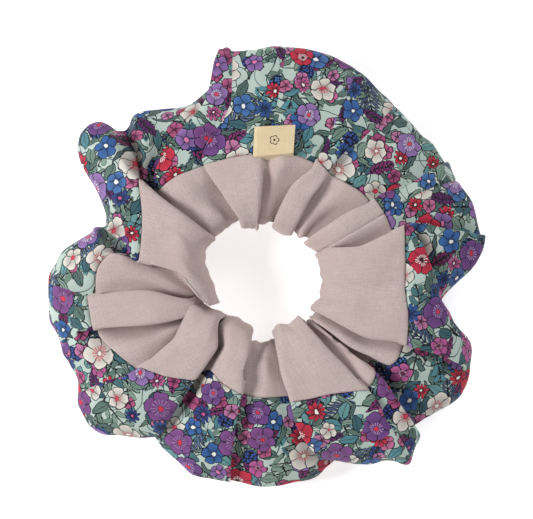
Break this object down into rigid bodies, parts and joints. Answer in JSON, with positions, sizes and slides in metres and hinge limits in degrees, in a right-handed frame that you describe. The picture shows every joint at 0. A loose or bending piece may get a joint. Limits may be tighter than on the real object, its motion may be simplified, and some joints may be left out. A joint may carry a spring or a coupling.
{
  "type": "hair scrunchie",
  "caption": "Oversized two-tone hair scrunchie: a gathered tube of floral cotton outside and plain linen inside, on an elastic loop, with a folded tape label.",
  "frame": {"origin": "centre of the hair opening at the cover's mid-height", "axes": "+Z along the opening's axis, out of the labelled face; +X the way the loop is pulled open; +Y towards the label"},
  "size_m": [0.1645, 0.1645, 0.0308],
  "materials": {
    "printed_cotton": "matte printed cotton lawn",
    "linen": "matte washed linen, dusty pink",
    "elastic": "matte braided elastic",
    "thread": "matte sewing thread",
    "label_tape": "matte cotton tape"
  },
  "bodies": {
    "gather_01": {"linen_cover_01": "linen", "print_cover_01": "printed_cotton", "elastic_01": "elastic", "seam_thread_01": "thread"},
    "gather_02": {"linen_cover_02": "linen", "print_cover_02": "printed_cotton", "elastic_02": "elastic", "seam_thread_02": "thread", "closing_stitches": "thread"},
    "gather_03": {"linen_cover_03": "linen", "print_cover_03": "printed_cotton", "elastic_03": "elastic", "seam_thread_03": "thread"},
    "gather_04": {"linen_cover_04": "linen", "print_cover_04": "printed_cotton", "elastic_04": "elastic", "seam_thread_04": "thread", "label_tail": "label_tape"},
    "gather_05": {"linen_cover_05": "linen", "print_cover_05": "printed_cotton", "elastic_05": "elastic", "seam_thread_05": "thread"},
    "gather_06": {"linen_cover_06": "linen", "print_cover_06": "printed_cotton", "elastic_06": "elastic", "seam_thread_06": "thread"},
    "gather_07": {"linen_cover_07": "linen", "print_cover_07": "printed_cotton", "elastic_07": "elastic", "seam_thread_07": "thread"},
    "gather_08": {"linen_cover_08": "linen", "print_cover_08": "printed_cotton", "elastic_08": "elastic", "seam_thread_08": "thread"},
    "gather_09": {"linen_cover_09": "linen", "print_cover_09": "printed_cotton", "elastic_09": "elastic", "seam_thread_09": "thread"},
    "gather_10": {"linen_cover_10": "linen", "print_cover_10": "printed_cotton", "elastic_10": "elastic", "seam_thread_10": "thread", "elastic_lap": "elastic", "elastic_zigzag": "thread"},
    "gather_11": {"linen_cover_11": "linen", "print_cover_11": "printed_cotton", "elastic_11": "elastic", "seam_thread_11": "thread"},
    "gather_12": {"linen_cover_12": "linen", "print_cover_12": "printed_cotton", "elastic_12": "elastic", "seam_thread_12": "thread"},
    "label": {"label_flap": "label_tape"}
  },
  "joints": [
    {"name": "stretch", "type": "slide", "parent": "gather_07", "child": "gather_01", "axis": [1, 0, 0], "range_m": [0, 0.06], "stiffness_N_per_m": 133},
    {"name": "stretch_share_02", "type": "slide", "parent": "gather_07", "child": "gather_02", "axis": [1, 0, 0], "range_m": [0, 0.0542]},
    {"name": "stretch_share_03", "type": "slide", "parent": "gather_07", "child": "gather_03", "axis": [1, 0, 0], "range_m": [0, 0.0454]},
    {"name": "stretch_share_04", "type": "slide", "parent": "gather_07", "child": "gather_04", "axis": [1, 0, 0], "range_m": [0, 0.0324]},
    {"name": "stretch_share_05", "type": "slide", "parent": "gather_07", "child": "gather_05", "axis": [1, 0, 0], "range_m": [0, 0.0149]},
    {"name": "stretch_share_06", "type": "slide", "parent": "gather_07", "child": "gather_06", "axis": [1, 0, 0], "range_m": [0, 0.0061]},
    {"name": "stretch_share_08", "type": "slide", "parent": "gather_07", "child": "gather_08", "axis": [1, 0, 0], "range_m": [0, 0.0061]},
    {"name": "stretch_share_09", "type": "slide", "parent": "gather_07", "child": "gather_09", "axis": [1, 0, 0], "range_m": [0, 0.0149]},
    {"name": "stretch_share_10", "type": "slide", "parent": "gather_07", "child": "gather_10", "axis": [1, 0, 0], "range_m": [0, 0.0301]},
    {"name": "stretch_share_11", "type": "slide", "parent": "gather_07", "child": "gather_11", "axis": [1, 0, 0], "range_m": [0, 0.0454]},
    {"name": "stretch_share_12", "type": "slide", "parent": "gather_07", "child": "gather_12", "axis": [1, 0, 0], "range_m": [0, 0.0542]},
    {"name": "label_flap", "type": "hinge", "parent": "gather_04", "child": "label", "pos_m": [0.00335, 0.048, 0.01545], "axis": [1, 0, 0], "range_deg": [0, 170]}
  ],
  "couplings": [
    {"joint": "stretch_share_02", "follows": "stretch", "ratio": 0.901},
    {"joint": "stretch_share_03", "follows": "stretch", "ratio": 0.754},
    {"joint": "stretch_share_04", "follows": "stretch", "ratio": 0.537},
    {"joint": "stretch_share_05", "follows": "stretch", "ratio": 0.246},
    {"joint": "stretch_share_06", "follows": "stretch", "ratio": 0.099},
    {"joint": "stretch_share_08", "follows": "stretch", "ratio": 0.099},
    {"joint": "stretch_share_09", "follows": "stretch", "ratio": 0.246},
    {"joint": "stretch_share_10", "follows": "stretch", "ratio": 0.5},
    {"joint": "stretch_share_11", "follows": "stretch", "ratio": 0.754},
    {"joint": "stretch_share_12", "follows": "stretch", "ratio": 0.901}
  ]
}
